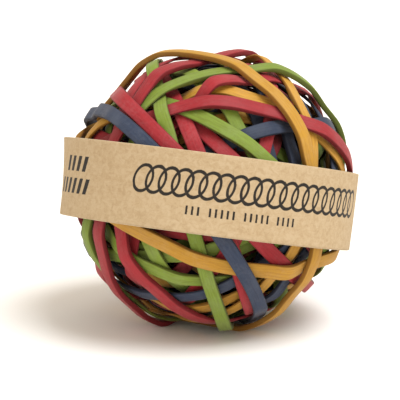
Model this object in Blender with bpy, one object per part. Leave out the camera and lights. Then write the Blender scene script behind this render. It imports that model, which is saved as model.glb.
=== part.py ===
"""Ball of coloured rubber bands, wound one over another around a core, in a kraft paper sleeve.

Metres, +Z up. The ball stands on the floor at z = 0, with the middle of its box over the
origin, and its face looks along -Y. Every band is a closed flat ring near a great circle of the
ball, drifts a little to the side where it finds less crowded places, and passes over all the
bands that were wound before it. Pulled tight, the bands settle into each other: they run
straight between the bands that carry them, and are squashed where many cross.
"""
from collections import namedtuple
from math import cos, pi, radians, sin, sqrt, tau

import bmesh
import bpy
import numpy as np

MM = 0.001

# The ball
BALL_RADIUS = 30.6 * MM        # to the outside of the highest bands
CROWD_RISE = 1.0 * MM          # how far bands may rise over that where many cross
COVER_DEPTH = 8.8 * MM         # depth of the separate bands over the tightly wound core
FLOOR_PRESS = 1.8 * MM         # how far its weight presses in the bands it stands on
FLAT_DEPTH = 0.7 * MM          # how far it presses their edges flat

# The bands
BAND_WIDTH = 3.0 * MM
BAND_THICKNESS = 1.1 * MM
BAND_CLEARANCE = 0.28 * MM     # between two bands, where one crosses the other
SQUASHED = 0.55                # share of its thickness that a band keeps where many cross
THINNEST = 0.3                 # and in the tightest places

# The paper sleeve
SLEEVE_HEIGHT = 16.0 * MM
SLEEVE_PRESS = 1.0 * MM        # how far it presses in the bands under it
SLEEVE_DROP = 1.05 * MM        # how far its middle lies under the ball's
PAPER_THICKNESS = 0.32 * MM
PAPER_CLEARANCE = 0.3 * MM     # between the paper and the highest band under it
LAP_LENGTH = 14.0 * MM         # glued overlap of the paper at the back
LAP_STEP = 0.7 * MM            # length over which the paper rises onto the lap
SLEEVE_ROLL = -7.2             # degrees, right side lower, seen from the front
VIEW_PITCH = 12.0              # degrees, how far the front of ball and sleeve looks up

# Fineness of the model
RING_STEPS = 36                # straight stretches in one band
COARSE_PLACES = (4, 5)         # places tested for contact, along one stretch and across a band
FINE_PLACES = (10, 9)
SLEEVE_STEPS = 72
LAYINGS = 2                    # times the bands settle, their contacts found anew each time
SETTLE_ROUNDS = 140
CLEARINGS = 2                  # times that contacts are found and cleared after that
CLEAR_ROUNDS = 170
SWELL_ROUNDS = 40
PULL = 0.2                     # how far one round pulls a band towards a straight run
SQUASH = 0.3                   # how readily a band is squashed, against being moved
CROWD_SQUASH = 1.0             # and where bands still press into each other
RECOVER = 0.1                  # how far one round brings back its thickness

# How the bands drift sideways, off crowded places: in degrees, seen from the ball's middle
DEEP_DRIFT = 7.5               # as far as the first band may go
TOP_DRIFT = 1.6                # and the last one
DRIFT_REACH = 4.9              # how far aside a band feels the others
DRIFT_STEP = 0.47
DRIFT_ROUNDS = 30

CORE_RADIUS = BALL_RADIUS - COVER_DEPTH
SLEEVE_GRIP = BALL_RADIUS - SLEEVE_PRESS
FLOOR_REACH = BALL_RADIUS - FLOOR_PRESS

# One band: its colour, the direction in which the pole of its plane leans in the front view
# (counted from the right towards the top), how far that pole comes out of the view towards the
# eye, and how far the band lies off the great circle. All three are in degrees.
Band = namedtuple("Band", "colour lean out off", defaults=(0.0,))

# Bands laid last, which the front view shows, in the order of winding
OUTER_BANDS = [
    Band("navy", 55, -54), Band("navy", 57, 4), Band("red", 145, -43), Band("navy", 168, 58),
    Band("green", 117, 20), Band("navy", 8, -33), Band("navy", 178, 44), Band("green", 12, -57),
    Band("navy", 76, 68), Band("green", 21, 54), Band("yellow", 51, 56), Band("red", 29, 10),
    Band("green", 101, 30), Band("red", 86, 20), Band("red", 60.7, 2.2), Band("green", 108, 26.5),
    Band("red", 156, -32), Band("green", 13, 33), Band("red", 156, 16), Band("green", 24, -23),
    Band("green", 75, 43), Band("yellow", 128, 52), Band("navy", 123, 38, -7.5),
    Band("navy", 152, 47, -12.5), Band("navy", 114, -16), Band("yellow", 80, -45),
    Band("red", 136, -37), Band("yellow", 166, 46), Band("red", 44, -1, 13.5),
    Band("red", 22, -3, -4), Band("green", 53, -23), Band("red", 89, -38),
    Band("red", 15, 49, 5.5), Band("green", 16, 2, -9.4), Band("green", 139, -58, -11.2),
    Band("red", 160, -43, 3), Band("red", 45.8, 0), Band("yellow", 69, 29),
    Band("navy", 37.3, -11.1, -19.5), Band("yellow", 16, -51, -6),
]

# Bands laid first go where the others leave the core bare
INNER_COLOURS = ["navy", "red", "green", "red", "yellow"] * 3
POLE_CHOICES = 500
POLE_SPACING = 13.0            # degrees between the poles of two inner bands, at least
COVER_ANGLE = 4.2              # degrees to either side of its middle line that a band covers
COVER_SAMPLES = 5000

RUBBER = {
    "red": (0.56, 0.050, 0.072),
    "green": (0.30, 0.42, 0.085),
    "yellow": (0.72, 0.34, 0.055),
    "navy": (0.036, 0.044, 0.085),
}
CORE_COLOUR = (0.16, 0.045, 0.035)
KRAFT = (0.69, 0.51, 0.31)


def spread_directions(count):
    """directions spread evenly over the ball, on a spiral from pole to pole"""
    place = np.arange(count) + 0.5
    height = 1 - 2 * place / count
    turn = place * pi * (3 - sqrt(5))
    level = np.sqrt(1 - height * height)
    return np.stack([level * np.cos(turn), level * np.sin(turn), height], axis=1)


def view_axes():
    """right, up and towards the eye, in the front view"""
    pitch = radians(VIEW_PITCH)
    right = np.array([1.0, 0.0, 0.0])
    up = np.array([0.0, sin(pitch), cos(pitch)])
    near = np.array([0.0, -cos(pitch), sin(pitch)])
    return right, up, near


def pole_of(band):
    right, up, near = view_axes()
    lean = radians(band.lean)
    out = radians(band.out)
    return (right * cos(lean) + up * sin(lean)) * cos(out) + near * sin(out)


class Winding:
    """the ways of all bands round the ball, seen from the ball's middle, first wound first"""

    def __init__(self, colours, poles, offs):
        level = np.where(np.abs(poles[:, 2:]) < 0.9, [[0.0, 0.0, 1.0]], [[1.0, 0.0, 0.0]])
        side = np.cross(level, poles)
        self.colours = colours
        self.poles = poles
        self.firsts = side / np.linalg.norm(side, axis=1, keepdims=True)
        self.seconds = np.cross(poles, self.firsts)
        self.latitudes = np.repeat(np.radians(offs)[:, None], RING_STEPS, axis=1)

    def latitude(self, bands, turns):
        """how far off the great circle the middle line of each band lies at its turn"""
        place = turns % tau / tau * RING_STEPS
        start = np.floor(place).astype(int)
        before = self.latitudes[bands, start % RING_STEPS]
        after = self.latitudes[bands, (start + 1) % RING_STEPS]
        return before + (after - before) * (place - start)

    def outward(self, band, turns, aside):
        """directions along one band, a little aside of its middle line"""
        latitude = self.latitude(band, turns) + aside
        around = np.outer(np.cos(turns), self.firsts[band]) + np.outer(np.sin(turns), self.seconds[band])
        return around * np.cos(latitude)[:, None] + np.outer(np.sin(latitude), self.poles[band])

    def turns(self, directions, count):
        """turn at which each direction lies on each of the first bands"""
        across = directions @ self.seconds[:count].T
        along = directions @ self.firsts[:count].T
        return np.arctan2(across, along) % tau

    def off(self, directions, count):
        """how far each direction lies off the middle line of each of the first bands"""
        latitude = self.latitude(np.arange(count), self.turns(directions, count))
        return np.arcsin(np.clip(directions @ self.poles[:count].T, -1, 1)) - latitude


def inner_poles(outer):
    """poles of the bands laid first, each where the fewest others cross its way"""
    places = spread_directions(COVER_SAMPLES)
    half_width = radians(COVER_ANGLE)
    layers = (np.abs(outer.off(places, len(outer.poles))) <= half_width).sum(axis=1)
    choices = [pole for pole in spread_directions(POLE_CHOICES) if pole[2] > 0]
    chosen = []
    for colour in INNER_COLOURS:
        ways = [np.abs(np.arcsin(places @ pole)) <= half_width for pole in choices]
        crowd = [np.mean((layers[way] + 1) ** 2) for way in ways]
        best = int(np.argmin(crowd))
        layers = layers + ways[best]
        chosen.append(choices[best])
        apart = cos(radians(POLE_SPACING))
        choices = [pole for pole in choices if abs(pole @ chosen[-1]) < apart]
    return np.array(chosen)


def drift_apart(winding):
    """let the bands drift sideways, bit by bit, from crowded places to bare ones"""
    count = len(winding.poles)
    turns = np.arange(RING_STEPS) * tau / RING_STEPS
    start = winding.latitudes.copy()
    limits = np.radians(np.linspace(DEEP_DRIFT, TOP_DRIFT, count))[:, None]
    reach = radians(DRIFT_REACH)
    for number in range(DRIFT_ROUNDS):
        strength = radians(DRIFT_STEP) * (1 - number / DRIFT_ROUNDS)
        for band in range(count):
            push = np.zeros(RING_STEPS)
            for aside in (-1.0, -0.5, 0.5, 1.0):
                way = winding.outward(band, turns, aside * reach)
                near = np.clip(1 - np.abs(winding.off(way, count)) / reach, 0, 1)
                near[:, band] = 0
                push -= aside * near.sum(axis=1)
            latitude = winding.latitudes[band] + strength * push
            for again in range(2):
                latitude = (latitude * 2 + np.roll(latitude, 1) + np.roll(latitude, -1)) / 4
            winding.latitudes[band] = latitude
        winding.latitudes = np.clip(winding.latitudes, start - limits, start + limits)


Contacts = namedtuple("Contacts", "upper lower upper_share lower_share")


def stretch_shares(fraction):
    """share that the two ends of a straight stretch have in the height at a place on it"""
    half = pi / RING_STEPS
    sag = cos(half) / np.cos((fraction - 0.5) * 2 * half)
    return np.stack([(1 - fraction) * sag, fraction * sag])


def find_contacts(winding, heights, places):
    """places where a later band passes over an earlier one"""
    along, across = places
    steps = RING_STEPS * along
    turns = np.arange(steps) * tau / steps
    stretch = np.arange(steps) // along
    fraction = (np.arange(steps) % along) / along
    reach = (BAND_WIDTH + BAND_CLEARANCE) / 2
    upper, lower, upper_fraction, lower_fraction = [], [], [], []
    for later in range(1, len(heights)):
        inside = heights[later]
        height = inside[stretch] * (1 - fraction) + inside[(stretch + 1) % RING_STEPS] * fraction
        for rail in np.linspace(-0.5, 0.5, across):
            way = winding.outward(later, turns, rail * BAND_WIDTH / height)
            met, earlier = np.nonzero(np.abs(winding.off(way, later)) * height[:, None] <= reach)
            place = winding.turns(way, later)[met, earlier] / tau * RING_STEPS
            start = np.floor(place).astype(int)
            upper.append(later * RING_STEPS + np.stack([stretch[met], (stretch[met] + 1) % RING_STEPS]))
            lower.append(earlier * RING_STEPS + np.stack([start % RING_STEPS, (start + 1) % RING_STEPS]))
            upper_fraction.append(fraction[met])
            lower_fraction.append(place - start)
    return Contacts(
        np.concatenate(upper, axis=1),
        np.concatenate(lower, axis=1),
        stretch_shares(np.concatenate(upper_fraction)),
        stretch_shares(np.concatenate(lower_fraction)),
    )


def overlap_at(contacts, height, thickness):
    """how far the lower band of each contact, and its clearance, reach into the upper band"""
    reach = contacts.upper_share * height[contacts.upper]
    needed = contacts.lower_share * (height[contacts.lower] + thickness[contacts.lower])
    return needed.sum(axis=0) + BAND_CLEARANCE - reach.sum(axis=0)


def push_apart(contacts, height, thickness, give, thinnest):
    """move, and squash, the bands that press into each other at a contact"""
    overlap = overlap_at(contacts, height, thickness)
    pressed = overlap > 0
    upper_share = contacts.upper_share[:, pressed]
    lower_share = contacts.lower_share[:, pressed]
    weight = (upper_share ** 2).sum(axis=0) + (1 + give) * (lower_share ** 2).sum(axis=0)
    push = overlap[pressed] / weight
    up = np.zeros(len(height))
    down = np.zeros(len(height))
    np.maximum.at(up, contacts.upper[:, pressed], push * upper_share)
    np.maximum.at(down, contacts.lower[:, pressed], push * lower_share)
    thickness = np.maximum(thickness - give * down, thinnest * BAND_THICKNESS)
    return height + up - down, thickness


def swell(contacts, height, limits):
    """give the bands their full thickness, less what is in the way over them"""
    thickness = np.minimum(BAND_THICKNESS, limits - height)
    for number in range(SWELL_ROUNDS):
        overlap = overlap_at(contacts, height, thickness)
        pressed = overlap > 0
        lower_share = contacts.lower_share[:, pressed]
        push = overlap[pressed] / (lower_share ** 2).sum(axis=0)
        down = np.zeros(len(height))
        np.maximum.at(down, contacts.lower[:, pressed], push * lower_share)
        thickness = np.maximum(thickness - down, THINNEST * BAND_THICKNESS)
    return thickness


def sleeve_axes():
    """the sleeve's axis, its front and its right side"""
    right, up, near = view_axes()
    roll = radians(SLEEVE_ROLL)
    axis = up * cos(roll) - right * sin(roll)
    side = right * cos(roll) + up * sin(roll)
    return axis, near, side


def highest(winding, rise):
    """how far each step of each band may stand out from the ball's middle"""
    count = len(winding.poles)
    axis = sleeve_axes()[0]
    turns = np.arange(RING_STEPS) * tau / RING_STEPS
    limits = np.full((count, RING_STEPS), BALL_RADIUS + rise)
    for band in range(count):
        outward = winding.outward(band, turns, 0.0)
        slope = outward @ axis
        off = np.abs(slope * SLEEVE_GRIP + SLEEVE_DROP)
        under = off <= SLEEVE_HEIGHT / 2 + BAND_WIDTH
        held = SLEEVE_GRIP / np.sqrt(1 - slope ** 2)
        limits[band] = np.where(under, np.minimum(limits[band], held), limits[band])
        down = np.maximum(-outward[:, 2], 0.5)
        limits[band] = np.minimum(limits[band], FLOOR_REACH / down)
    return limits.ravel()


def settle(winding):
    """height of every band's inner face, and its thickness, at each step of its way"""
    count = len(winding.poles)
    lowest = (CORE_RADIUS + BAND_CLEARANCE) / cos(pi / RING_STEPS)
    layer = np.repeat(np.linspace(0, COVER_DEPTH - BAND_THICKNESS, count), RING_STEPS)
    height = np.maximum(CORE_RADIUS + layer, lowest)
    thickness = np.full(count * RING_STEPS, BAND_THICKNESS)
    straight = cos(tau / RING_STEPS)
    limits = highest(winding, 0.0)
    for laying in range(LAYINGS):
        contacts = find_contacts(winding, height.reshape(count, RING_STEPS), COARSE_PLACES)
        for number in range(SETTLE_ROUNDS):
            strength = 1 - number / SETTLE_ROUNDS
            run = height.reshape(count, RING_STEPS)
            chord = straight * (np.roll(run, 1, axis=1) + np.roll(run, -1, axis=1)) / 2
            height = (run + PULL * strength * (chord - run)).ravel()
            thickness = thickness + RECOVER * strength * (BAND_THICKNESS - thickness)
            for again in range(3):
                height, thickness = push_apart(contacts, height, thickness, SQUASH, SQUASHED)
                height = np.clip(height, lowest, limits - thickness)
    limits = highest(winding, CROWD_RISE)
    for clearing in range(CLEARINGS):
        contacts = find_contacts(winding, height.reshape(count, RING_STEPS), FINE_PLACES)
        for number in range(CLEAR_ROUNDS):
            height, thickness = push_apart(contacts, height, thickness, CROWD_SQUASH, THINNEST)
            height = np.clip(height, lowest, limits - thickness)
    contacts = find_contacts(winding, height.reshape(count, RING_STEPS), FINE_PLACES)
    thickness = swell(contacts, height, limits)
    return height.reshape(count, RING_STEPS), thickness.reshape(count, RING_STEPS)


def new_material(name, colour, roughness):
    material = bpy.data.materials.new(name)
    material.use_nodes = True
    shader = material.node_tree.nodes["Principled BSDF"]
    shader.inputs["Base Color"].default_value = (*colour, 1.0)
    shader.inputs["Roughness"].default_value = roughness
    shader.inputs["Metallic"].default_value = 0.0
    material.diffuse_color = (*colour, 1.0)
    return material


def new_object(name, mesh_work, colour, roughness):
    mesh = bpy.data.meshes.new(name)
    bmesh.ops.recalc_face_normals(mesh_work, faces=mesh_work.faces)
    mesh_work.to_mesh(mesh)
    mesh_work.free()
    mesh.materials.append(new_material(name + "_finish", colour, roughness))
    thing = bpy.data.objects.new(name, mesh)
    bpy.context.collection.objects.link(thing)
    return thing


def loop_of_sections(sections):
    """closed loop of quads through sections of equal corner count, and the first again"""
    work = bmesh.new()
    rows = [[work.verts.new(corner) for corner in section] for section in sections]
    for row, following in zip(rows, rows[1:] + rows[:1]):
        for corner in range(len(row)):
            after = (corner + 1) % len(row)
            work.faces.new((row[corner], row[after], following[after], following[corner]))
    return work


def band_sections(winding, band, heights, thicknesses):
    """rectangles across the band, at each step of its way, flat side to the ball"""
    turns = np.arange(RING_STEPS) * tau / RING_STEPS
    outward = winding.outward(band, turns, 0.0)
    middle = outward * heights[:, None]
    ahead = np.roll(middle, -1, axis=0) - np.roll(middle, 1, axis=0)
    across = np.cross(outward, ahead)
    half = across / np.linalg.norm(across, axis=1, keepdims=True) * BAND_WIDTH / 2
    outside = outward * (heights + thicknesses)[:, None]
    return np.stack([middle - half, middle + half, outside + half, outside - half], axis=1)


def press_flat(work, floor):
    """take away what lies under the floor, and close the cut with a flat face"""
    cut = bmesh.ops.bisect_plane(
        work,
        geom=work.verts[:] + work.edges[:] + work.faces[:],
        plane_co=(0, 0, floor),
        plane_no=(0, 0, -1),
        clear_outer=True,
    )
    edges = [piece for piece in cut["geom_cut"] if isinstance(piece, bmesh.types.BMEdge)]
    if edges:
        bmesh.ops.edgenet_fill(work, edges=edges)


def build_band(name, colour, sections, origin):
    work = loop_of_sections(sections)
    floor = origin[2]
    if sections[:, :, 2].min() < floor:
        press_flat(work, floor)
    bmesh.ops.translate(work, verts=work.verts, vec=-origin)
    return new_object(name, work, RUBBER[colour], 0.62)


def build_core(origin):
    work = bmesh.new()
    bmesh.ops.create_icosphere(work, subdivisions=3, radius=CORE_RADIUS)
    bmesh.ops.translate(work, verts=work.verts, vec=-origin)
    return new_object("wound_core", work, CORE_COLOUR, 0.7)


def reach_under_sleeve(bands):
    """how far the bands under the sleeve stand out from its axis"""
    axis, front, side = sleeve_axes()
    reach = 0.0
    for sections in bands:
        following = np.roll(sections, -1, axis=0)
        for share in np.arange(FINE_PLACES[0]) / FINE_PLACES[0]:
            corners = (sections + (following - sections) * share).reshape(-1, 3)
            off = np.abs(corners @ axis + SLEEVE_DROP)
            under = off <= SLEEVE_HEIGHT / 2 + PAPER_CLEARANCE
            reach = max(reach, np.hypot(corners @ front, corners @ side)[under].max(initial=0.0))
    return reach


def sleeve_sections(inside):
    """strip of paper round the ball, its ends glued one over the other at the back"""
    axis, front, side = sleeve_axes()
    outside = inside + PAPER_THICKNESS
    half_lap = LAP_LENGTH / 2 / outside
    step = LAP_STEP / outside
    turns = list(np.arange(SLEEVE_STEPS) * tau / SLEEVE_STEPS)
    places = [(turn, outside) for turn in turns if abs(turn - pi) > half_lap]
    places += [(turn, outside + PAPER_THICKNESS) for turn in turns if abs(turn - pi) < half_lap - step]
    places += [(pi + end * half_lap, outside) for end in (-1, 1)]
    places += [(pi + end * (half_lap - step), outside + PAPER_THICKNESS) for end in (-1, 1)]
    low = -axis * (SLEEVE_DROP + SLEEVE_HEIGHT / 2)
    high = -axis * (SLEEVE_DROP - SLEEVE_HEIGHT / 2)
    sections = []
    for turn, radius in sorted(places):
        out = front * cos(turn) + side * sin(turn)
        sections.append([out * inside + low, out * inside + high, out * radius + high, out * radius + low])
    return np.array(sections)


def build_sleeve(sections, origin):
    work = loop_of_sections(sections - origin)
    return new_object("paper_sleeve", work, KRAFT, 0.85)


def wind_ball():
    """the ways of all the bands, inner ones first"""
    poles = np.array([pole_of(band) for band in OUTER_BANDS])
    offs = np.array([band.off for band in OUTER_BANDS])
    colours = [band.colour for band in OUTER_BANDS]
    inner = inner_poles(Winding(colours, poles, offs))
    winding = Winding(
        INNER_COLOURS + colours,
        np.concatenate([inner, poles]),
        np.concatenate([np.zeros(len(inner)), offs]),
    )
    drift_apart(winding)
    return winding


def main():
    for thing in list(bpy.data.objects):
        bpy.data.objects.remove(thing, do_unlink=True)

    winding = wind_ball()
    heights, thicknesses = settle(winding)
    bands = [band_sections(winding, band, heights[band], thicknesses[band]) for band in range(len(heights))]
    sleeve = sleeve_sections(reach_under_sleeve(bands) + PAPER_CLEARANCE)

    corners = np.concatenate(bands + [sleeve]).reshape(-1, 3)
    origin = (corners.min(axis=0) + corners.max(axis=0)) / 2
    origin[2] = corners[:, 2].min() + FLAT_DEPTH

    build_core(origin)
    numbers = dict.fromkeys(RUBBER, 0)
    for colour, sections in zip(winding.colours, bands):
        numbers[colour] += 1
        build_band(f"{colour}_band_{numbers[colour]:02d}", colour, sections, origin)
    build_sleeve(sleeve, origin)


main()
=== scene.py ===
"""Looks of a rubber band ball: moulded bands with a powdery skin, and a kraft paper sleeve."""
from math import cos, pi, radians, sin, tau

import bmesh
import bpy
import numpy as np
from mathutils import Matrix, Vector


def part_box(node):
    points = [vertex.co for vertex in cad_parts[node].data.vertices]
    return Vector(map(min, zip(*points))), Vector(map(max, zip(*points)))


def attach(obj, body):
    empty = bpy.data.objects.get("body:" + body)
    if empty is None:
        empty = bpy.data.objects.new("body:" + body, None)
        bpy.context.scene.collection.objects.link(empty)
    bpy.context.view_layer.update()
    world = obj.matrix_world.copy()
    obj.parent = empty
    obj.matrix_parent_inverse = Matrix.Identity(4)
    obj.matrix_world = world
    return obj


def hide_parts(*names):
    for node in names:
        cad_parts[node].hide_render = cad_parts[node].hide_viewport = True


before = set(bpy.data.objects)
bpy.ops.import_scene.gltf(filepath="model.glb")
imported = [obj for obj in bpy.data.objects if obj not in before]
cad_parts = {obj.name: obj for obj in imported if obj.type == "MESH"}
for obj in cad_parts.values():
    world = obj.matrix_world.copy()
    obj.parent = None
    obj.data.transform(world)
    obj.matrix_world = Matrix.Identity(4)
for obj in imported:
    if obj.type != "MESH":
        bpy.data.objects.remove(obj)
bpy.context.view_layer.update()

MM = 0.001

# The bands
BAND_WIDTH = 3.0 * MM
BAND_THICKNESS = 1.1 * MM
EDGE_ROUNDING = 0.24 * MM
CROWN = 0.05 * MM              # how far the middle of a band's face stands out
THINNEST = 0.46 * MM           # that a band gets where others squash it
WIDTH_SPREAD = (-0.05, 0.06)   # shares by which a band is narrower or wider than the usual one
WIDTH_WAVE = 0.03              # share by which its width changes on its way
ROLL = 4.0                     # degrees that it leans to either side on its way
MEETING_WIDTH = 3.15 * MM      # two bands meet where their middles lie closer together than this
PATH_STEPS = 216               # steps of a band along its way
SMOOTHING = 1.5                # steps over which kinks are rounded

# Further bands, wound between those of the solid model
UNDER_BANDS = 56
FOLLOWED = 12                  # highest bands, each with one more further band right under it
UNDER_STEPS = 144
UNDER_SMOOTHING = 1.0
UNDER_THICKNESS = 0.8 * MM
CLEARANCE = 0.12 * MM          # from a further band to the others
FRONT_LEVEL = 24.4 * MM        # its distance from the ball's middle where there is room, in the front
BACK_LEVEL = 27.2 * MM         # and at the back and round the outline
LEVEL_SPREAD = 2.0 * MM        # how much lower than that some are wound
FOLLOWING_RISE = 1.2 * MM      # how much higher at the back those are wound that follow another band
FRONT_TOP = 26.6 * MM          # farthest from the ball's middle that it may lie, in the front
BACK_TOP = 29.9 * MM           # and at the back and round the outline
FRONT_FACING = 0.42            # cosine of the angle to the eye: above this, a place is in the front
BACK_FACING = 0.12             # and below this, at the back
SWAY = (4.0, 2.0)              # degrees that it sways, in one wave round the ball and in three
FOLLOWING_SWAY = 2.2           # and off the band that it follows
STEP_WEIGHT = 14.0             # what a step through other bands costs, times its height
STEP_COST = 24.0 * MM          # and besides, where lying off the level costs that distance
PULL_ROUNDS = 500              # times that it is pulled straight between its supports

# The core
CORE_BANDS = 44
CORE_STEPS = 108
CORE_DEPTH = 0.9 * MM          # of its windings
CORE_BAND_THICKNESS = 0.77 * MM
CORE_FILL_DEPTH = 1.0 * MM     # of the smooth middle, under the core's surface

# The sleeve
PAPER = 0.3 * MM
LAP_LENGTH = 14.0 * MM
LAP_RISE = 0.8 * MM            # length over which the paper rises onto the lap
LAP_LIFT = 1.08 * PAPER        # and how far it rises
FLARE = 1.1 * MM               # how far the upper edge stands off at the left
SLEEVE_STEPS = 360

# Colours in linear light
RUBBER = {
    "red": (0.33, 0.019, 0.026),
    "green": (0.195, 0.275, 0.033),
    "yellow": (0.52, 0.27, 0.028),
    "navy": (0.029, 0.042, 0.078),
}
# Darkened copies of the band colours: painted shade for the core deep in the ball
CORE_SHADED_COLOURS = ((0.10, 0.014, 0.014), (0.05, 0.062, 0.016), (0.016, 0.016, 0.022), (0.11, 0.05, 0.012))
KRAFT = (0.462, 0.337, 0.197)
INK = (0.008, 0.006, 0.005)

# How the rubber darkens, as painted shade: deep in the ball and on a band's cut sides
SHADE_START = 22.8 * MM        # from the ball's middle
SHADE_END = 27.8 * MM
SHADE_DARKEST = 0.36
SIDE_SHADE_START = 1.26 * MM         # from the middle of the band
SIDE_SHADE_END = 1.47 * MM

# The printed pattern, in millimetres along the paper and up from its lower edge
LOOP_PITCH = 5.4
LOOP_SIZE = (3.9, 5.2)
LOOP_LEAN = -0.18
LOOP_LEVEL = 9.6
LOOP_LINE = (0.10, 0.16)       # where its line ends, as shares of half its size
MARK_PITCH = 1.15
MARK_WIDTH = 0.42
MARK_LEVELS = (3.6, 5.3)
MARK_GROUP = 6                 # places to a group, the last one empty
BAR_PITCH = 2.45
BAR_WIDTH = 1.3
BAR_LEAN = -0.35
UPPER_BAR_LEVELS = (9.3, 12.4)
LOWER_BAR_LEVELS = (4.8, 7.9)
BLUR = 0.05                    # of a bar's edges

# The camera
CAMERA_DISTANCE = 0.405
CAMERA_PITCH = 12.0
FOCAL_PIXELS = 1933.0
IMAGE_SIDE = 400.0
BALL_PIXEL = (210.0, 189.0)    # where the ball's middle lies in the picture

core_low, core_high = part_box("wound_core")
BALL_CENTRE = np.array((core_low + core_high) / 2)
CORE_RADIUS = (core_high.x - core_low.x) / 2


def view_axes():
    """right, up and towards the eye, in the front view"""
    pitch = radians(CAMERA_PITCH)
    right = np.array([1.0, 0.0, 0.0])
    up = np.array([0.0, sin(pitch), cos(pitch)])
    near = np.array([0.0, -cos(pitch), sin(pitch)])
    return right, up, near


def node_corners(name):
    """corners of a solid, one row each"""
    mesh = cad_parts[name].data
    corners = np.zeros(len(mesh.vertices) * 3)
    mesh.vertices.foreach_get("co", corners)
    return corners.reshape(-1, 3)


def node_edges(name):
    """edges of a solid, as the numbers of their two corners"""
    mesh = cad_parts[name].data
    edges = np.zeros(len(mesh.edges) * 2, int)
    mesh.edges.foreach_get("vertices", edges)
    return edges.reshape(-1, 2)


def flattest_direction(corners):
    """the direction in which a ring of corners is thinnest"""
    spread = np.cov((corners - corners.mean(axis=0)).T)
    return np.linalg.eigh(spread)[1][:, 0]


def ring_axes(pole):
    """two directions in the plane of a ring"""
    helper = np.eye(3)[np.argmin(np.abs(pole))]
    first = np.cross(helper, pole)
    first /= np.linalg.norm(first)
    return first, np.cross(pole, first)


def smoothed(values, steps):
    """values on a closed way, with what is shorter than some steps rounded off"""
    count = len(values)
    waves = np.fft.rfftfreq(count) * count
    damping = np.exp(-0.5 * (waves * tau * steps / count) ** 2)
    return np.fft.irfft(np.fft.rfft(values) * damping, count)


class Ring:
    """the way of one band round the ball, read from its solid"""

    def __init__(self, name):
        corners = node_corners(name) - BALL_CENTRE
        edges = node_edges(name)
        self.pole = flattest_direction(corners)
        self.first, self.second = ring_axes(self.pole)
        self.turns = np.arange(PATH_STEPS) * tau / PATH_STEPS
        starts = corners[edges[:, 0]]
        ends = corners[edges[:, 1]]
        lows, highs, slopes = [], [], []
        for turn in self.turns:
            ahead = -sin(turn) * self.first + cos(turn) * self.second
            out = cos(turn) * self.first + sin(turn) * self.second
            start_side = starts @ ahead
            end_side = ends @ ahead
            crossing = (start_side * end_side <= 0) & (start_side != end_side)
            share = start_side[crossing] / (start_side[crossing] - end_side[crossing])
            points = starts[crossing] + (ends[crossing] - starts[crossing]) * share[:, None]
            points = points[points @ out > 0]
            across = points @ self.pole
            slope = np.arctan2((across.min() + across.max()) / 2, (points @ out).mean())
            outward = out * cos(slope) + self.pole * sin(slope)
            reach = points @ outward
            slopes.append(slope)
            lows.append(reach.min())
            highs.append(reach.max())
        self.slopes = smoothed(np.array(slopes), SMOOTHING)
        self.lows = smoothed(np.array(lows), SMOOTHING)
        self.highs = smoothed(np.array(highs), SMOOTHING)

    def outward(self):
        """directions from the ball's middle to the places on the way"""
        out = np.outer(np.cos(self.turns), self.first) + np.outer(np.sin(self.turns), self.second)
        return out * np.cos(self.slopes)[:, None] + np.outer(np.sin(self.slopes), self.pole)

    def met_by(self, directions):
        """this band's inner and outer height in each direction, and whether a band there meets it"""
        steps = len(self.lows)
        place = np.arctan2(directions @ self.second, directions @ self.first) % tau / tau * steps
        start = place.astype(int) % steps
        off = np.arcsin(np.clip(directions @ self.pole, -1, 1)) - self.slopes[start]
        return self.lows[start], self.highs[start], np.abs(off) * self.lows[start] < MEETING_WIDTH


def free_rooms(spans, bottom, top):
    """lowest and highest place of one more band in each room between the others

    The first room is sunk in the core, so that there is always one.
    """
    rooms = [(bottom - UNDER_THICKNESS, bottom)]
    for low, high in sorted(spans):
        if min(low - CLEARANCE, top) - bottom >= UNDER_THICKNESS:
            rooms.append((bottom, min(low - CLEARANCE, top)))
        bottom = max(bottom, high + CLEARANCE)
    if top - bottom >= UNDER_THICKNESS:
        rooms.append((bottom, top))
    return np.array(rooms) - np.array([0.0, UNDER_THICKNESS])


def apart(first, second):
    """how far the heights of two lists of rooms lie apart, for each pair"""
    down = first[:, None, 0] - second[:, 1]
    up = second[:, 0] - first[:, None, 1]
    return np.maximum(0, np.maximum(down, up))


def passage(rooms, wanted):
    """rooms that lead round the ball with few steps up or down, near the wanted heights

    The way is followed round twice, and its second round counts, so that its ends meet.
    """
    count = len(rooms)
    costs = np.zeros(len(rooms[0]))
    origins = []
    for step in range(1, 2 * count):
        here = rooms[step % count]
        before = rooms[(step - 1) % count]
        gap = apart(before, here)
        total = costs[:, None] + gap * STEP_WEIGHT + (gap > 0) * STEP_COST
        level = wanted[step % count]
        off_level = np.maximum(0, np.maximum(here[:, 0] - level, level - here[:, 1]))
        origins.append(total.argmin(axis=0))
        costs = total.min(axis=0) + off_level
    best = int(costs.argmin())
    chosen = [None] * count
    for step in range(2 * count - 1, count - 1, -1):
        chosen[step % count] = rooms[step % count][best]
        best = origins[step - 1][best]
    return np.array(chosen)


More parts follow.
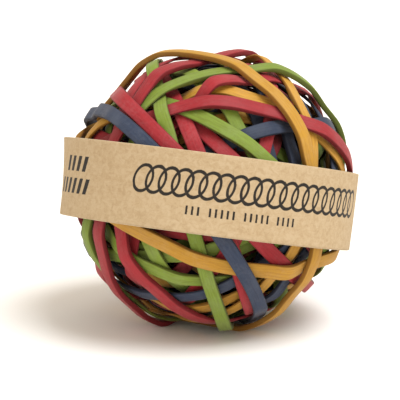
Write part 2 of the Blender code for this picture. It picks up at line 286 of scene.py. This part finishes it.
class HiddenRing(Ring):
    """the way of a further band, wound through the free rooms between the others"""

    def __init__(self, pole, rings, sleeve, chance, leader=None):
        self.pole = pole
        self.first, self.second = ring_axes(pole)
        self.turns = np.arange(UNDER_STEPS) * tau / UNDER_STEPS
        phases = chance.uniform(0, tau, 2)
        if leader:
            self.slopes = np.interp(self.turns, leader.turns, leader.slopes, period=tau)
            self.slopes += radians(FOLLOWING_SWAY) * np.sin(self.turns + phases[0])
        else:
            self.slopes = radians(SWAY[0]) * np.sin(self.turns + phases[0])
            self.slopes += radians(SWAY[1]) * np.sin(3 * self.turns + phases[1])
        directions = self.outward()
        facing = directions @ view_axes()[2]
        back = np.clip((FRONT_FACING - facing) / (FRONT_FACING - BACK_FACING), 0, 1)
        top = FRONT_TOP + (BACK_TOP - FRONT_TOP) * back
        top = np.minimum(top, sleeve.room(directions))
        top = np.minimum(top, (BALL_CENTRE[2] - CLEARANCE) / np.maximum(-directions[:, 2], 0.5))
        wanted = FRONT_LEVEL + (BACK_LEVEL - FRONT_LEVEL) * back - chance.uniform(0, LEVEL_SPREAD)
        if leader:
            wanted += FOLLOWING_RISE * back
        met = [ring.met_by(directions) for ring in rings]
        rooms = []
        for step in range(UNDER_STEPS):
            spans = [(low[step], high[step]) for low, high, here in met if here[step]]
            rooms.append(free_rooms(spans, CORE_RADIUS, top[step]))
        floor, ceiling = passage(rooms, wanted).T
        straight = cos(tau / UNDER_STEPS)
        lows = floor
        for number in range(PULL_ROUNDS):
            chord = straight * (np.roll(lows, 1) + np.roll(lows, -1)) / 2
            lows = np.minimum(np.maximum(floor, chord), ceiling)
        # At the back and round the outline, it rises right up to the band over it
        if leader:
            covered = ceiling < top - UNDER_THICKNESS - CLEARANCE
            lows = lows + (ceiling - lows) * back * smoothed(covered.astype(float), SMOOTHING)
        self.lows = smoothed(lows, UNDER_SMOOTHING)
        self.highs = self.lows + UNDER_THICKNESS


class Way:
    """one band's middle line and section, ready to be swept"""

    def __init__(self, outward, lows, thick, chance):
        steps = len(lows)
        self.thick = thick
        self.middle = outward * (lows + thick / 2)[:, None]
        ahead = np.roll(self.middle, -1, axis=0) - np.roll(self.middle, 1, axis=0)
        across = np.cross(outward, ahead)
        across /= np.linalg.norm(across, axis=1, keepdims=True)
        turns = np.arange(steps) * tau / steps
        phases = chance.uniform(0, tau, 3)
        waves = np.sin(2 * turns + phases[0]) + 0.6 * np.sin(5 * turns + phases[1])
        lean = radians(ROLL) * waves / 1.6
        self.across = across * np.cos(lean)[:, None] + outward * np.sin(lean)[:, None]
        self.outward = outward * np.cos(lean)[:, None] - across * np.sin(lean)[:, None]
        size = 1 + chance.uniform(*WIDTH_SPREAD)
        self.wide = BAND_WIDTH * size * (1 + WIDTH_WAVE * np.sin(3 * turns + phases[2]))
        tint = np.full(steps, chance.uniform(0, 1))
        self.along = np.stack([np.cos(turns), np.sin(turns), tint], axis=1)


def path_object(name, ways):
    """closed ways, with the width, thickness and directions of each band as attributes"""
    mesh = bpy.data.meshes.new(name)
    edges = []
    first = 0
    for way in ways:
        steps = len(way.middle)
        edges += [(first + step, first + (step + 1) % steps) for step in range(steps)]
        first += steps
    middles = np.concatenate([way.middle for way in ways]) + BALL_CENTRE
    mesh.from_pydata(middles.tolist(), edges, [])
    for label in ("outward", "across", "along"):
        values = np.concatenate([getattr(way, label) for way in ways])
        mesh.attributes.new(label, "FLOAT_VECTOR", "POINT").data.foreach_set("vector", values.ravel())
    for label in ("wide", "thick"):
        values = np.concatenate([getattr(way, label) for way in ways])
        mesh.attributes.new(label, "FLOAT", "POINT").data.foreach_set("value", values)
    thing = bpy.data.objects.new(name, mesh)
    bpy.context.collection.objects.link(thing)
    return thing


def add_node(tree, kind, **settings):
    """new node with some of its properties set"""
    node = tree.nodes.new(kind)
    for label, value in settings.items():
        setattr(node, label, value)
    return node


def feed(tree, socket, value):
    """set a socket to a number or a vector, or link it to another socket"""
    if isinstance(value, bpy.types.NodeSocket):
        tree.links.new(value, socket)
    else:
        socket.default_value = value


def named_attribute(tree, label, kind):
    """value that the way carries under a name"""
    node = add_node(tree, "GeometryNodeInputNamedAttribute", data_type=kind)
    node.inputs["Name"].default_value = label
    return node.outputs["Attribute"]


def math_of(tree, operation, *values):
    """result of a step of arithmetic on numbers or sockets"""
    node = add_node(tree, "ShaderNodeMath", operation=operation)
    for socket, value in zip(node.inputs, values):
        feed(tree, socket, value)
    return node.outputs[0]


def vector_of(tree, operation, *values):
    """result of a step of arithmetic on vectors"""
    node = add_node(tree, "ShaderNodeVectorMath", operation=operation)
    slots = [socket for socket in node.inputs if socket.enabled]
    for socket, value in zip(slots, values):
        feed(tree, socket, value)
    return [socket for socket in node.outputs if socket.enabled][0]


def scaled(tree, vector, factor):
    """vector or colour times a number"""
    node = add_node(tree, "ShaderNodeVectorMath", operation="SCALE")
    tree.links.new(vector, node.inputs[0])
    feed(tree, node.inputs["Scale"], factor)
    return node.outputs["Vector"]


def rounded_section(tree, entry):
    """section of a band: a rectangle with rounded edges"""
    link = tree.links.new
    section = add_node(tree, "GeometryNodeCurvePrimitiveQuadrilateral")
    link(entry.outputs["Nominal width"], section.inputs["Width"])
    link(entry.outputs["Nominal thickness"], section.inputs["Height"])
    fillet = add_node(tree, "GeometryNodeFilletCurve", mode="POLY")
    fillet.inputs["Count"].default_value = 2
    fillet.inputs["Limit Radius"].default_value = True
    link(section.outputs["Curve"], fillet.inputs["Curve"])
    link(entry.outputs["Edge rounding"], fillet.inputs["Radius"])
    finer = add_node(tree, "GeometryNodeSubdivideCurve")
    link(entry.outputs["Finer section"], finer.inputs["Cuts"])
    link(fillet.outputs["Curve"], finer.inputs["Curve"])
    return finer.outputs["Curve"]


def with_place(tree, curve, label):
    """curve whose points carry their place along, and that place"""
    place = add_node(tree, "GeometryNodeInputPosition")
    keep = add_node(tree, "GeometryNodeCaptureAttribute", domain="POINT")
    keep.capture_items.new("VECTOR", label)
    tree.links.new(curve, keep.inputs["Geometry"])
    tree.links.new(place.outputs[0], keep.inputs[label])
    return keep.outputs["Geometry"], keep.outputs[label]


def section_offset(tree, entry, place):
    """how far a point of the section lies from the way, with the band's width and thickness there"""
    width = entry.outputs["Nominal width"]
    parts = add_node(tree, "ShaderNodeSeparateXYZ")
    tree.links.new(place, parts.inputs[0])
    wider = math_of(tree, "SUBTRACT", named_attribute(tree, "wide", "FLOAT"), width)
    thick = named_attribute(tree, "thick", "FLOAT")
    thicker = math_of(tree, "SUBTRACT", thick, entry.outputs["Nominal thickness"])
    half_wider = math_of(tree, "MULTIPLY", wider, 0.5)
    half_thicker = math_of(tree, "MULTIPLY", thicker, 0.5)
    side = math_of(tree, "SIGN", parts.outputs["X"])
    face_side = math_of(tree, "SIGN", parts.outputs["Y"])
    aside = math_of(tree, "MULTIPLY_ADD", side, half_wider, parts.outputs["X"])
    share = math_of(tree, "DIVIDE", parts.outputs["X"], width)
    hollow = math_of(tree, "MULTIPLY", math_of(tree, "MULTIPLY", share, share), 4.0)
    crown = math_of(tree, "MULTIPLY", math_of(tree, "SUBTRACT", 1.0, hollow), entry.outputs["Crown"])
    rise = math_of(tree, "ADD", half_thicker, crown)
    upright = math_of(tree, "MULTIPLY_ADD", face_side, rise, parts.outputs["Y"])
    across = scaled(tree, named_attribute(tree, "across", "FLOAT_VECTOR"), aside)
    outward = scaled(tree, named_attribute(tree, "outward", "FLOAT_VECTOR"), upright)
    return vector_of(tree, "ADD", across, outward)


def band_tree():
    """sweeps a band's rounded section along its way"""
    tree = bpy.data.node_groups.new("band_sweep", "GeometryNodeTree")
    face = tree.interface
    face.new_socket("Way", in_out="INPUT", socket_type="NodeSocketGeometry")
    for label, value in (
        ("Nominal width", BAND_WIDTH),
        ("Nominal thickness", BAND_THICKNESS),
        ("Edge rounding", EDGE_ROUNDING),
        ("Crown", CROWN),
    ):
        socket = face.new_socket(label, in_out="INPUT", socket_type="NodeSocketFloat")
        socket.default_value = value
    face.new_socket("Finer section", in_out="INPUT", socket_type="NodeSocketInt")
    face.new_socket("Rubber", in_out="INPUT", socket_type="NodeSocketMaterial")
    face.new_socket("Band", in_out="OUTPUT", socket_type="NodeSocketGeometry")
    link = tree.links.new
    entry = add_node(tree, "NodeGroupInput")
    leave = add_node(tree, "NodeGroupOutput")

    section, section_place = with_place(tree, rounded_section(tree, entry), "section")
    line = add_node(tree, "GeometryNodeMeshToCurve")
    link(entry.outputs["Way"], line.inputs["Mesh"])
    way, middle = with_place(tree, line.outputs["Curve"], "middle")
    sweep = add_node(tree, "GeometryNodeCurveToMesh")
    link(way, sweep.inputs["Curve"])
    link(section, sweep.inputs["Profile Curve"])
    shape = add_node(tree, "GeometryNodeSetPosition")
    link(sweep.outputs["Mesh"], shape.inputs["Geometry"])
    place = vector_of(tree, "ADD", middle, section_offset(tree, entry, section_place))
    link(place, shape.inputs["Position"])

    grain = add_node(tree, "GeometryNodeStoreNamedAttribute", data_type="FLOAT_VECTOR", domain="POINT")
    grain.inputs["Name"].default_value = "section"
    link(shape.outputs["Geometry"], grain.inputs["Geometry"])
    link(section_place, grain.inputs["Value"])
    smooth = add_node(tree, "GeometryNodeSetShadeSmooth")
    link(grain.outputs["Geometry"], smooth.inputs["Geometry"])
    real = add_node(tree, "GeometryNodeRealizeInstances")
    link(smooth.outputs["Geometry"], real.inputs["Geometry"])
    dress = add_node(tree, "GeometryNodeSetMaterial")
    link(real.outputs["Geometry"], dress.inputs["Geometry"])
    link(entry.outputs["Rubber"], dress.inputs["Material"])
    link(dress.outputs["Geometry"], leave.inputs["Band"])
    return tree


def swept(name, ways, tree, material, cuts=0):
    """plain mesh of the swept bands, none of it below the floor, as an object"""
    path = path_object(name + "_way", ways)
    modifier = path.modifiers.new("sweep", "NODES")
    modifier.node_group = tree
    sockets = {item.name: item.identifier for item in tree.interface.items_tree if item.in_out == "INPUT"}
    modifier[sockets["Finer section"]] = cuts
    modifier[sockets["Rubber"]] = material
    shown = path.evaluated_get(bpy.context.evaluated_depsgraph_get())
    mesh = bpy.data.meshes.new_from_object(shown)
    mesh.name = name
    path.modifiers.remove(modifier)
    spare = path.data
    bpy.data.objects.remove(path)
    bpy.data.meshes.remove(spare)
    work = bmesh.new()
    work.from_mesh(mesh)
    for corner in work.verts:
        corner.co.z = max(corner.co.z, 0.0)
    bmesh.ops.recalc_face_normals(work, faces=work.faces[:])
    work.to_mesh(mesh)
    work.free()
    thing = bpy.data.objects.new(name, mesh)
    bpy.context.collection.objects.link(thing)
    return thing


def build_band(name, ring, tree, material, chance):
    """one of the solid model's bands"""
    thick = np.maximum(ring.highs - ring.lows, THINNEST)
    piece = swept(name + "_rubber", [Way(ring.outward(), ring.lows, thick, chance)], tree, material, cuts=1)
    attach(piece, "root")
    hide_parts(name)


def random_direction(chance):
    """any direction, each as likely as the others"""
    direction = chance.normal(size=3)
    return direction / np.linalg.norm(direction)


def build_under_bands(rings, sleeve, tree, materials):
    """further bands, which fill the ball up between those of the solid model"""
    chance = np.random.default_rng(7)
    wound = list(rings)
    ways = {colour: [] for colour in RUBBER}
    order = ("red", "navy", "green", "red", "yellow", "navy", "green")
    leaders = sorted(rings, key=lambda ring: -ring.lows.mean())[:FOLLOWED]
    poles = [ring.pole for ring in leaders] + [random_direction(chance) for number in range(UNDER_BANDS)]
    for number, pole in enumerate(poles):
        leader = leaders[number] if number < FOLLOWED else None
        ring = HiddenRing(pole, wound, sleeve, chance, leader)
        wound.append(ring)
        thick = np.full(UNDER_STEPS, UNDER_THICKNESS)
        ways[order[number % len(order)]].append(Way(ring.outward(), ring.lows, thick, chance))
    for colour, runs in ways.items():
        piece = swept("under_bands_" + colour, runs, tree, materials[colour])
        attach(piece, "root")


def build_core(tree, material):
    """tightly wound bands round a smooth middle"""
    chance = np.random.default_rng(11)
    turns = np.arange(CORE_STEPS) * tau / CORE_STEPS
    thick = np.full(CORE_STEPS, CORE_BAND_THICKNESS)
    ways = []
    for number in range(CORE_BANDS):
        first, second = ring_axes(random_direction(chance))
        outward = np.outer(np.cos(turns), first) + np.outer(np.sin(turns), second)
        high = CORE_RADIUS - CORE_DEPTH * (1 - number / CORE_BANDS)
        ways.append(Way(outward, np.full(CORE_STEPS, high) - thick, thick, chance))
    piece = swept("core_windings", ways, tree, material)
    work = bmesh.new()
    work.from_mesh(piece.data)
    ball = bmesh.ops.create_icosphere(work, subdivisions=4, radius=CORE_RADIUS - CORE_FILL_DEPTH)
    bmesh.ops.translate(work, verts=ball["verts"], vec=BALL_CENTRE)
    work.to_mesh(piece.data)
    work.free()
    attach(piece, "root")
    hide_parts("wound_core")


# Materials

def noise_of(tree, vector, scale, detail=3.0, roughness=0.5, distortion=0.0):
    """soft noise from nought to one"""
    node = add_node(tree, "ShaderNodeTexNoise")
    tree.links.new(vector, node.inputs["Vector"])
    node.inputs["Scale"].default_value = scale
    node.inputs["Detail"].default_value = detail
    node.inputs["Roughness"].default_value = roughness
    node.inputs["Distortion"].default_value = distortion
    return node.outputs["Fac"]


def eased(tree, value, low, high, at_low=0.0, at_high=1.0):
    """value eased from one number to another between two marks"""
    node = add_node(tree, "ShaderNodeMapRange", interpolation_type="SMOOTHSTEP")
    for label, number in (
        ("Value", value), ("From Min", low), ("From Max", high), ("To Min", at_low), ("To Max", at_high)
    ):
        feed(tree, node.inputs[label], number)
    return node.outputs["Result"]


def mixed(tree, factor, first, second):
    """colour between two others"""
    node = add_node(tree, "ShaderNodeMix", data_type="RGBA")
    feed(tree, node.inputs["Factor"], factor)
    for socket, value in zip([item for item in node.inputs if item.type == "RGBA"], (first, second)):
        feed(tree, socket, value if isinstance(value, bpy.types.NodeSocket) else (*value, 1.0))
    return [item for item in node.outputs if item.type == "RGBA"][0]


def bumped(tree, height, distance, strength):
    """surface direction with a fine relief"""
    node = add_node(tree, "ShaderNodeBump")
    node.inputs["Strength"].default_value = strength
    node.inputs["Distance"].default_value = distance
    tree.links.new(height, node.inputs["Height"])
    return node.outputs["Normal"]


def attribute_parts(tree, label):
    """X, Y and Z of a vector that the mesh carries"""
    node = add_node(tree, "ShaderNodeAttribute", attribute_name=label)
    parts = add_node(tree, "ShaderNodeSeparateXYZ")
    tree.links.new(node.outputs["Vector"], parts.inputs[0])
    return parts.outputs


def toned(colour, shades):
    """colour with each of its parts times a shade of its own"""
    return tuple(part * shade for part, shade in zip(colour, shades))


def new_material(name):
    """material, its node tree and its shader"""
    material = bpy.data.materials.new(name)
    material.use_nodes = True
    return material, material.node_tree, material.node_tree.nodes["Principled BSDF"]


def depth_shade(tree, spot):
    """one at the outside, and less deep between the bands: painted shade, darker towards the ball's middle
    """
    away = add_node(tree, "ShaderNodeVectorMath", operation="DISTANCE")
    tree.links.new(spot, away.inputs[0])
    away.inputs[1].default_value = BALL_CENTRE
    return eased(tree, away.outputs["Value"], SHADE_START, SHADE_END, SHADE_DARKEST, 1.0)


def rubber_material(name, colour):
    """matt rubber with a powdery skin, run through lengthwise, with painted shade on its cut sides and deep
    in the ball
    """
    material, tree, shader = new_material(name)
    spot = add_node(tree, "ShaderNodeTexCoord").outputs["Object"]
    run = attribute_parts(tree, "along")
    cut = attribute_parts(tree, "section")
    tint = run["Z"]

    seed = math_of(tree, "MULTIPLY", tint, 40.0)
    across = math_of(tree, "MULTIPLY_ADD", cut["X"], 3200.0, seed)
    grain = add_node(tree, "ShaderNodeCombineXYZ")
    feed(tree, grain.inputs["X"], math_of(tree, "MULTIPLY", run["X"], 7.0))
    feed(tree, grain.inputs["Y"], math_of(tree, "MULTIPLY", run["Y"], 7.0))
    feed(tree, grain.inputs["Z"], across)
    streak = noise_of(tree, grain.outputs["Vector"], 1.0, 4.0, 0.6)
    powder = noise_of(tree, spot, 1300.0, 4.0, 0.65, 0.4)
    cloud = noise_of(tree, spot, 210.0, 2.0, 0.5)
    fine = noise_of(tree, spot, 2600.0, 2.0, 0.5)

    red, green, blue = colour
    grey = 0.30 * red + 0.59 * green + 0.11 * blue
    pale = tuple(0.78 * part + 0.14 * grey + 0.09 for part in colour)
    deep = toned(colour, (0.62, 0.50, 0.55))
    # painted shade: a darker copy of the colour for the band's cut sides
    shaded_wall = toned(colour, (0.42, 0.34, 0.38))

    skin = mixed(tree, eased(tree, streak, 0.36, 0.72, 0.0, 0.55), colour, deep)
    dust = math_of(tree, "MULTIPLY_ADD", cloud, 0.45, math_of(tree, "MULTIPLY", powder, 0.55))
    dusty = eased(tree, dust, 0.42, 0.66, 0.0, 0.26)
    skin = mixed(tree, dusty, skin, pale)
    # painted shade on the cut sides, eased in towards the band's edges
    side = math_of(tree, "ABSOLUTE", cut["X"])
    rim = eased(tree, side, SIDE_SHADE_START, SIDE_SHADE_END)
    skin = mixed(tree, math_of(tree, "MULTIPLY", rim, 0.75), skin, shaded_wall)
    lot = math_of(tree, "MULTIPLY_ADD", tint, 0.22, 0.89)
    # painted shade deep in the ball, times a random tone for each band
    dark = math_of(tree, "MULTIPLY", depth_shade(tree, spot), lot)
    feed(tree, shader.inputs["Base Color"], scaled(tree, skin, dark))
    feed(tree, shader.inputs["Roughness"], eased(tree, powder, 0.3, 0.75, 0.5, 0.78))
    height = math_of(tree, "MULTIPLY_ADD", fine, 0.35, streak)
    feed(tree, shader.inputs["Normal"], bumped(tree, height, 0.09 * MM, 0.8))
    shader.inputs["Specular IOR Level"].default_value = 0.24
    shader.inputs["Sheen Weight"].default_value = 0.08
    shader.inputs["Sheen Roughness"].default_value = 0.45
    shader.inputs["Sheen Tint"].default_value = (1.0, 0.95, 0.92, 1.0)
    return material


def core_material():
    """rubber of several colours, painted dark as shade deep in the ball"""
    material, tree, shader = new_material("core_rubber")
    run = attribute_parts(tree, "along")
    spot = add_node(tree, "ShaderNodeTexCoord").outputs["Object"]
    ramp = add_node(tree, "ShaderNodeValToRGB")
    ramp.color_ramp.interpolation = "CONSTANT"
    elements = ramp.color_ramp.elements
    for number, shade in enumerate(CORE_SHADED_COLOURS):
        share = number / len(CORE_SHADED_COLOURS)
        element = elements[number] if number < 2 else elements.new(share)
        element.position = share
        element.color = (*shade, 1.0)
    tree.links.new(run["Z"], ramp.inputs["Fac"])
    mottle = eased(tree, noise_of(tree, spot, 700.0), 0.3, 0.7, 0.5, 1.0)
    feed(tree, shader.inputs["Base Color"], scaled(tree, ramp.outputs["Color"], mottle))
    shader.inputs["Roughness"].default_value = 0.75
    return material


def window(tree, value, low, high, soft):
    """one between two marks and nought outside, with soft ends"""
    rise = eased(tree, value, low - soft, low + soft)
    fall = eased(tree, value, high - soft, high + soft, 1.0, 0.0)
    return math_of(tree, "MULTIPLY", rise, fall)


def places(tree, value, pitch, start=0.0):
    """number of the nearest of many places a pitch apart, and the distance from its middle"""
    place = math_of(tree, "DIVIDE", math_of(tree, "SUBTRACT", value, start), pitch)
    number = math_of(tree, "FLOOR", place)
    share = math_of(tree, "SUBTRACT", math_of(tree, "SUBTRACT", place, number), 0.5)
    return number, math_of(tree, "MULTIPLY", share, pitch)


def between(tree, number, first, last):
    """one for the places from the first to the last, and nought for the others"""
    return window(tree, number, first - 0.5, last + 0.5, 0.01)


def loop_row(tree, along, up, start, first, last):
    """every second loop of the chain"""
    leaning = math_of(tree, "MULTIPLY_ADD", up, LOOP_LEAN, along)
    number, aside = places(tree, leaning, LOOP_PITCH, start)
    wide = math_of(tree, "DIVIDE", aside, LOOP_SIZE[0] / 2)
    high = math_of(tree, "DIVIDE", up, LOOP_SIZE[1] / 2)
    squares = math_of(tree, "MULTIPLY_ADD", wide, wide, math_of(tree, "MULTIPLY", high, high))
    away = math_of(tree, "ABSOLUTE", math_of(tree, "SUBTRACT", math_of(tree, "SQRT", squares), 1.0))
    line = eased(tree, away, *LOOP_LINE, 1.0, 0.0)
    return math_of(tree, "MULTIPLY", line, between(tree, number, first, last))


def bars(tree, along, up, pitch, width, levels, first, last, lean=0.0):
    """row of bars between two levels, with the number of each place"""
    number, aside = places(tree, math_of(tree, "MULTIPLY_ADD", up, lean, along), pitch)
    bar = eased(tree, math_of(tree, "ABSOLUTE", aside), width / 2 - BLUR, width / 2 + BLUR, 1.0, 0.0)
    bar = math_of(tree, "MULTIPLY", bar, window(tree, up, *levels, BLUR))
    return number, math_of(tree, "MULTIPLY", bar, between(tree, number, first, last))


def print_mask(tree, along, up):
    """where ink lies on the paper: a chain of loops, groups of fine marks and two rows of thick bars"""
    middle = math_of(tree, "SUBTRACT", up, LOOP_LEVEL)
    odd = loop_row(tree, along, middle, 0.0, -3, 6)
    even = loop_row(tree, along, middle, LOOP_PITCH / 2, -3, 6)
    chain = math_of(tree, "MAXIMUM", odd, even)
    number, marks = bars(tree, along, up, MARK_PITCH, MARK_WIDTH, MARK_LEVELS, -4, 15)
    place = math_of(tree, "WRAP", number, MARK_GROUP, 0.0)
    marks = math_of(tree, "MULTIPLY", marks, between(tree, place, 0, MARK_GROUP - 2))
    upper = bars(tree, along, up, BAR_PITCH, BAR_WIDTH, UPPER_BAR_LEVELS, -17, -14, BAR_LEAN)[1]
    lower = bars(tree, along, up, BAR_PITCH, BAR_WIDTH, LOWER_BAR_LEVELS, -18, -13, BAR_LEAN)[1]
    block = math_of(tree, "MAXIMUM", upper, lower)
    return math_of(tree, "MAXIMUM", math_of(tree, "MAXIMUM", chain, marks), block)


def paper_material():
    """kraft paper: cloudy brown, with fibres and flecks, printed with a plain pattern"""
    material, tree, shader = new_material("kraft_paper")
    strip = add_node(tree, "ShaderNodeUVMap", uv_map="strip").outputs["UV"]
    parts = add_node(tree, "ShaderNodeSeparateXYZ")
    tree.links.new(strip, parts.inputs[0])
    spot = add_node(tree, "ShaderNodeTexCoord").outputs["Object"]
    side = attribute_parts(tree, "paper_side")

    cloud = noise_of(tree, spot, 90.0, 2.0, 0.5)
    felt = noise_of(tree, spot, 900.0, 3.0, 0.7, 0.8)
    combed = vector_of(tree, "MULTIPLY", strip, (0.9, 9.0, 1.0))
    fibre = noise_of(tree, combed, 0.55, 5.0, 0.65, 1.2)
    fleck = noise_of(tree, vector_of(tree, "MULTIPLY", strip, (1.4, 3.2, 1.0)), 1.0, 2.0, 0.5, 2.0)

    dull = toned(KRAFT, (0.87, 0.82, 0.76))
    bright = toned(KRAFT, (1.16, 1.22, 1.35))
    brown = toned(KRAFT, (0.77, 0.71, 0.65))
    bark = toned(KRAFT, (0.42, 0.38, 0.34))
    cut = toned(KRAFT, (1.25, 1.45, 1.8))
    skin = mixed(tree, eased(tree, cloud, 0.35, 0.68, 0.0, 0.3), KRAFT, dull)
    skin = mixed(tree, eased(tree, felt, 0.42, 0.64, 0.0, 0.5), skin, bright)
    skin = mixed(tree, eased(tree, felt, 0.46, 0.32, 0.0, 0.4), skin, brown)
    skin = mixed(tree, eased(tree, fibre, 0.5, 0.74, 0.0, 0.4), skin, brown)
    skin = mixed(tree, eased(tree, fleck, 0.66, 0.76, 0.0, 0.45), skin, bark)
    skin = mixed(tree, math_of(tree, "MULTIPLY", side["X"], 0.6), skin, cut)

    bleed = math_of(tree, "MULTIPLY", math_of(tree, "SUBTRACT", felt, 0.5), 0.22)
    along = math_of(tree, "ADD", parts.outputs["X"], bleed)
    up = math_of(tree, "ADD", parts.outputs["Y"], bleed)
    ink = math_of(tree, "MULTIPLY", print_mask(tree, along, up), side["Y"])
    cover = math_of(tree, "MULTIPLY", ink, eased(tree, felt, 0.2, 0.5, 0.92, 0.99))
    feed(tree, shader.inputs["Base Color"], mixed(tree, cover, skin, INK))
    feed(tree, shader.inputs["Roughness"], math_of(tree, "MULTIPLY_ADD", cover, -0.25, 0.88))
    height = math_of(tree, "ADD", math_of(tree, "MULTIPLY", fibre, 0.8), felt)
    feed(tree, shader.inputs["Normal"], bumped(tree, height, 0.06 * MM, 0.7))
    shader.inputs["Specular IOR Level"].default_value = 0.3
    return material


class Sleeve:
    """place and size of the paper sleeve, read from its solid"""

    def __init__(self):
        corners = node_corners("paper_sleeve") - BALL_CENTRE
        axis = flattest_direction(corners)
        self.axis = axis * np.sign(axis[2])
        near = view_axes()[2]
        front = near - self.axis * (near @ self.axis)
        self.front = front / np.linalg.norm(front)
        side = np.cross(self.axis, self.front)
        self.side = side * np.sign(side[0])
        self.inside = np.hypot(corners @ self.front, corners @ self.side).min()
        levels = corners @ self.axis
        self.low = levels.min()
        self.height = np.ptp(levels)

    def room(self, directions):
        """how far from the ball's middle a band may reach, to stay inside the paper"""
        slope = directions @ self.axis
        reach = (self.inside - CLEARANCE) / np.sqrt(1 - np.minimum(slope ** 2, 0.99))
        level = slope * reach - self.low
        under = (level > -BAND_WIDTH) & (level < self.height + BAND_WIDTH)
        return np.where(under, reach, np.inf)


def build_sleeve(sleeve):
    """strip of kraft paper round the ball, glued end over end at the back"""
    half_lap = LAP_LENGTH / 2 / sleeve.inside
    rise = LAP_RISE / sleeve.inside
    turns = np.linspace(-pi - half_lap, pi + half_lap, SLEEVE_STEPS)
    lift = np.interp(turns, (pi - half_lap - rise, pi - half_lap), (0.0, LAP_LIFT))
    wave = 0.05 * np.sin(3 * turns + 0.6) + 0.04 * np.sin(7 * turns + 2.0)
    flare = FLARE * np.maximum(0, -np.sin(turns)) ** 2

    levels = [0.006, 0.03] + [step / 12 for step in range(1, 12)] + [0.97, 0.994]
    # Depth in the paper and level of each corner, and shares of cut rim and of outer face there
    section = [(0.0, level, 0.0, 1.0) for level in levels]
    section += [(0.5, 1.0, 1.0, 0.0)]
    section += [(1.0, level, 0.0, 0.0) for level in reversed(levels)]
    section += [(0.5, 0.0, 1.0, 0.0)]
    work = bmesh.new()
    kind = work.verts.layers.float_vector.new("paper_side")
    strip = work.loops.layers.uv.new("strip")
    rows = []
    for turn, over, ripple, spread in zip(turns, lift, wave, flare):
        out = sleeve.front * cos(turn) + sleeve.side * sin(turn)
        row = []
        for depth, level, rim, face in section:
            swell = ripple * (0.4 + 1.2 * (2 * level - 1) ** 2) * MM + spread * level ** 2
            radius = sleeve.inside + over + swell + PAPER * (1 - depth)
            height = level * sleeve.height
            corner = work.verts.new(BALL_CENTRE + out * radius + sleeve.axis * (sleeve.low + height))
            corner[kind] = (rim, face, 0.0)
            row.append((corner, turn * sleeve.inside / MM, height / MM))
        rows.append(row)
    for row, following in zip(rows, rows[1:]):
        for number in range(len(section)):
            after = (number + 1) % len(section)
            quad = (row[number], row[after], following[after], following[number])
            face = work.faces.new([corner for corner, along, up in quad])
            for loop, (corner, along, up) in zip(face.loops, quad):
                loop[strip].uv = (along, up)
    for row in (rows[0], rows[-1]):
        face = work.faces.new([corner for corner, along, up in row])
        for loop, (corner, along, up) in zip(face.loops, row):
            loop[strip].uv = (along, up)
    bmesh.ops.recalc_face_normals(work, faces=work.faces)
    for face in work.faces:
        face.smooth = True
    mesh = bpy.data.meshes.new("kraft_sleeve")
    work.to_mesh(mesh)
    work.free()
    mesh.materials.append(paper_material())
    piece = bpy.data.objects.new("kraft_sleeve", mesh)
    bpy.context.collection.objects.link(piece)
    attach(piece, "root")
    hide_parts("paper_sleeve")


# Studio

def aim(thing, place, target, up):
    """set a camera or light at a place, turned to a target"""
    back = (Vector(place) - Vector(target)).normalized()
    right = Vector(up).cross(back).normalized()
    upright = back.cross(right)
    turn = Matrix((right, upright, back)).transposed().to_4x4()
    thing.matrix_world = Matrix.Translation(place) @ turn


def build_camera():
    """camera set so that the ball's middle and size lie where the front view has them"""
    right, up, near = view_axes()
    eye = BALL_CENTRE + near * CAMERA_DISTANCE
    spread = CAMERA_DISTANCE / FOCAL_PIXELS
    aside = (BALL_PIXEL[0] - IMAGE_SIDE / 2) * spread
    above = (IMAGE_SIDE / 2 - BALL_PIXEL[1]) * spread
    target = BALL_CENTRE - right * aside - up * above
    data = bpy.data.cameras.new("camera")
    data.sensor_width = 36.0
    data.lens = FOCAL_PIXELS / IMAGE_SIDE * data.sensor_width
    data.clip_start = 0.01
    camera = bpy.data.objects.new("camera", data)
    bpy.context.collection.objects.link(camera)
    aim(camera, eye, target, up)
    bpy.context.scene.camera = camera


def build_light(name, place, breadth, strength, colour):
    """soft light from far away, as broad as an angle in degrees"""
    data = bpy.data.lights.new(name, "SUN")
    data.angle = radians(breadth)
    data.energy = strength
    data.color = colour
    light = bpy.data.objects.new(name, data)
    bpy.context.collection.objects.link(light)
    aim(light, place, BALL_CENTRE, (0, 0, 1))


def build_studio():
    """two soft lights, an even backdrop and a pale floor"""
    build_light("key_light", (0.40, -0.28, 1.00), 34.0, 2.9, (0.93, 0.97, 1.0))
    build_light("fill_light", (-0.80, -0.62, 0.30), 90.0, 0.42, (1.0, 0.97, 0.92))
    world = bpy.data.worlds.new("studio")
    world.use_nodes = True
    backdrop = world.node_tree.nodes["Background"]
    backdrop.inputs["Color"].default_value = (1.0, 0.92, 0.80, 1.0)
    backdrop.inputs["Strength"].default_value = 0.84
    bpy.context.scene.world = world
    bpy.context.scene.view_settings.view_transform = "Standard"

    work = bmesh.new()
    bmesh.ops.create_grid(work, x_segments=1, y_segments=1, size=3.0)
    mesh = bpy.data.meshes.new("floor")
    work.to_mesh(mesh)
    work.free()
    material, tree, shader = new_material("pale_floor")
    shader.inputs["Base Color"].default_value = (0.92, 0.90, 0.88, 1.0)
    shader.inputs["Roughness"].default_value = 0.9
    mesh.materials.append(material)
    floor = bpy.data.objects.new("floor", mesh)
    bpy.context.collection.objects.link(floor)


def build_ball():
    """all the bands, the core and the sleeve"""
    tree = band_tree()
    materials = {colour: rubber_material(colour + "_rubber", value) for colour, value in RUBBER.items()}
    names = [name for name in sorted(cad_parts) if name.split("_")[0] in RUBBER]
    rings = {name: Ring(name) for name in names}
    for number, (name, ring) in enumerate(rings.items()):
        colour = name.split("_")[0]
        build_band(name, ring, tree, materials[colour], np.random.default_rng(number))
    sleeve = Sleeve()
    build_under_bands(list(rings.values()), sleeve, tree, materials)
    build_core(tree, core_material())
    build_sleeve(sleeve)


build_camera()
build_studio()
build_ball()
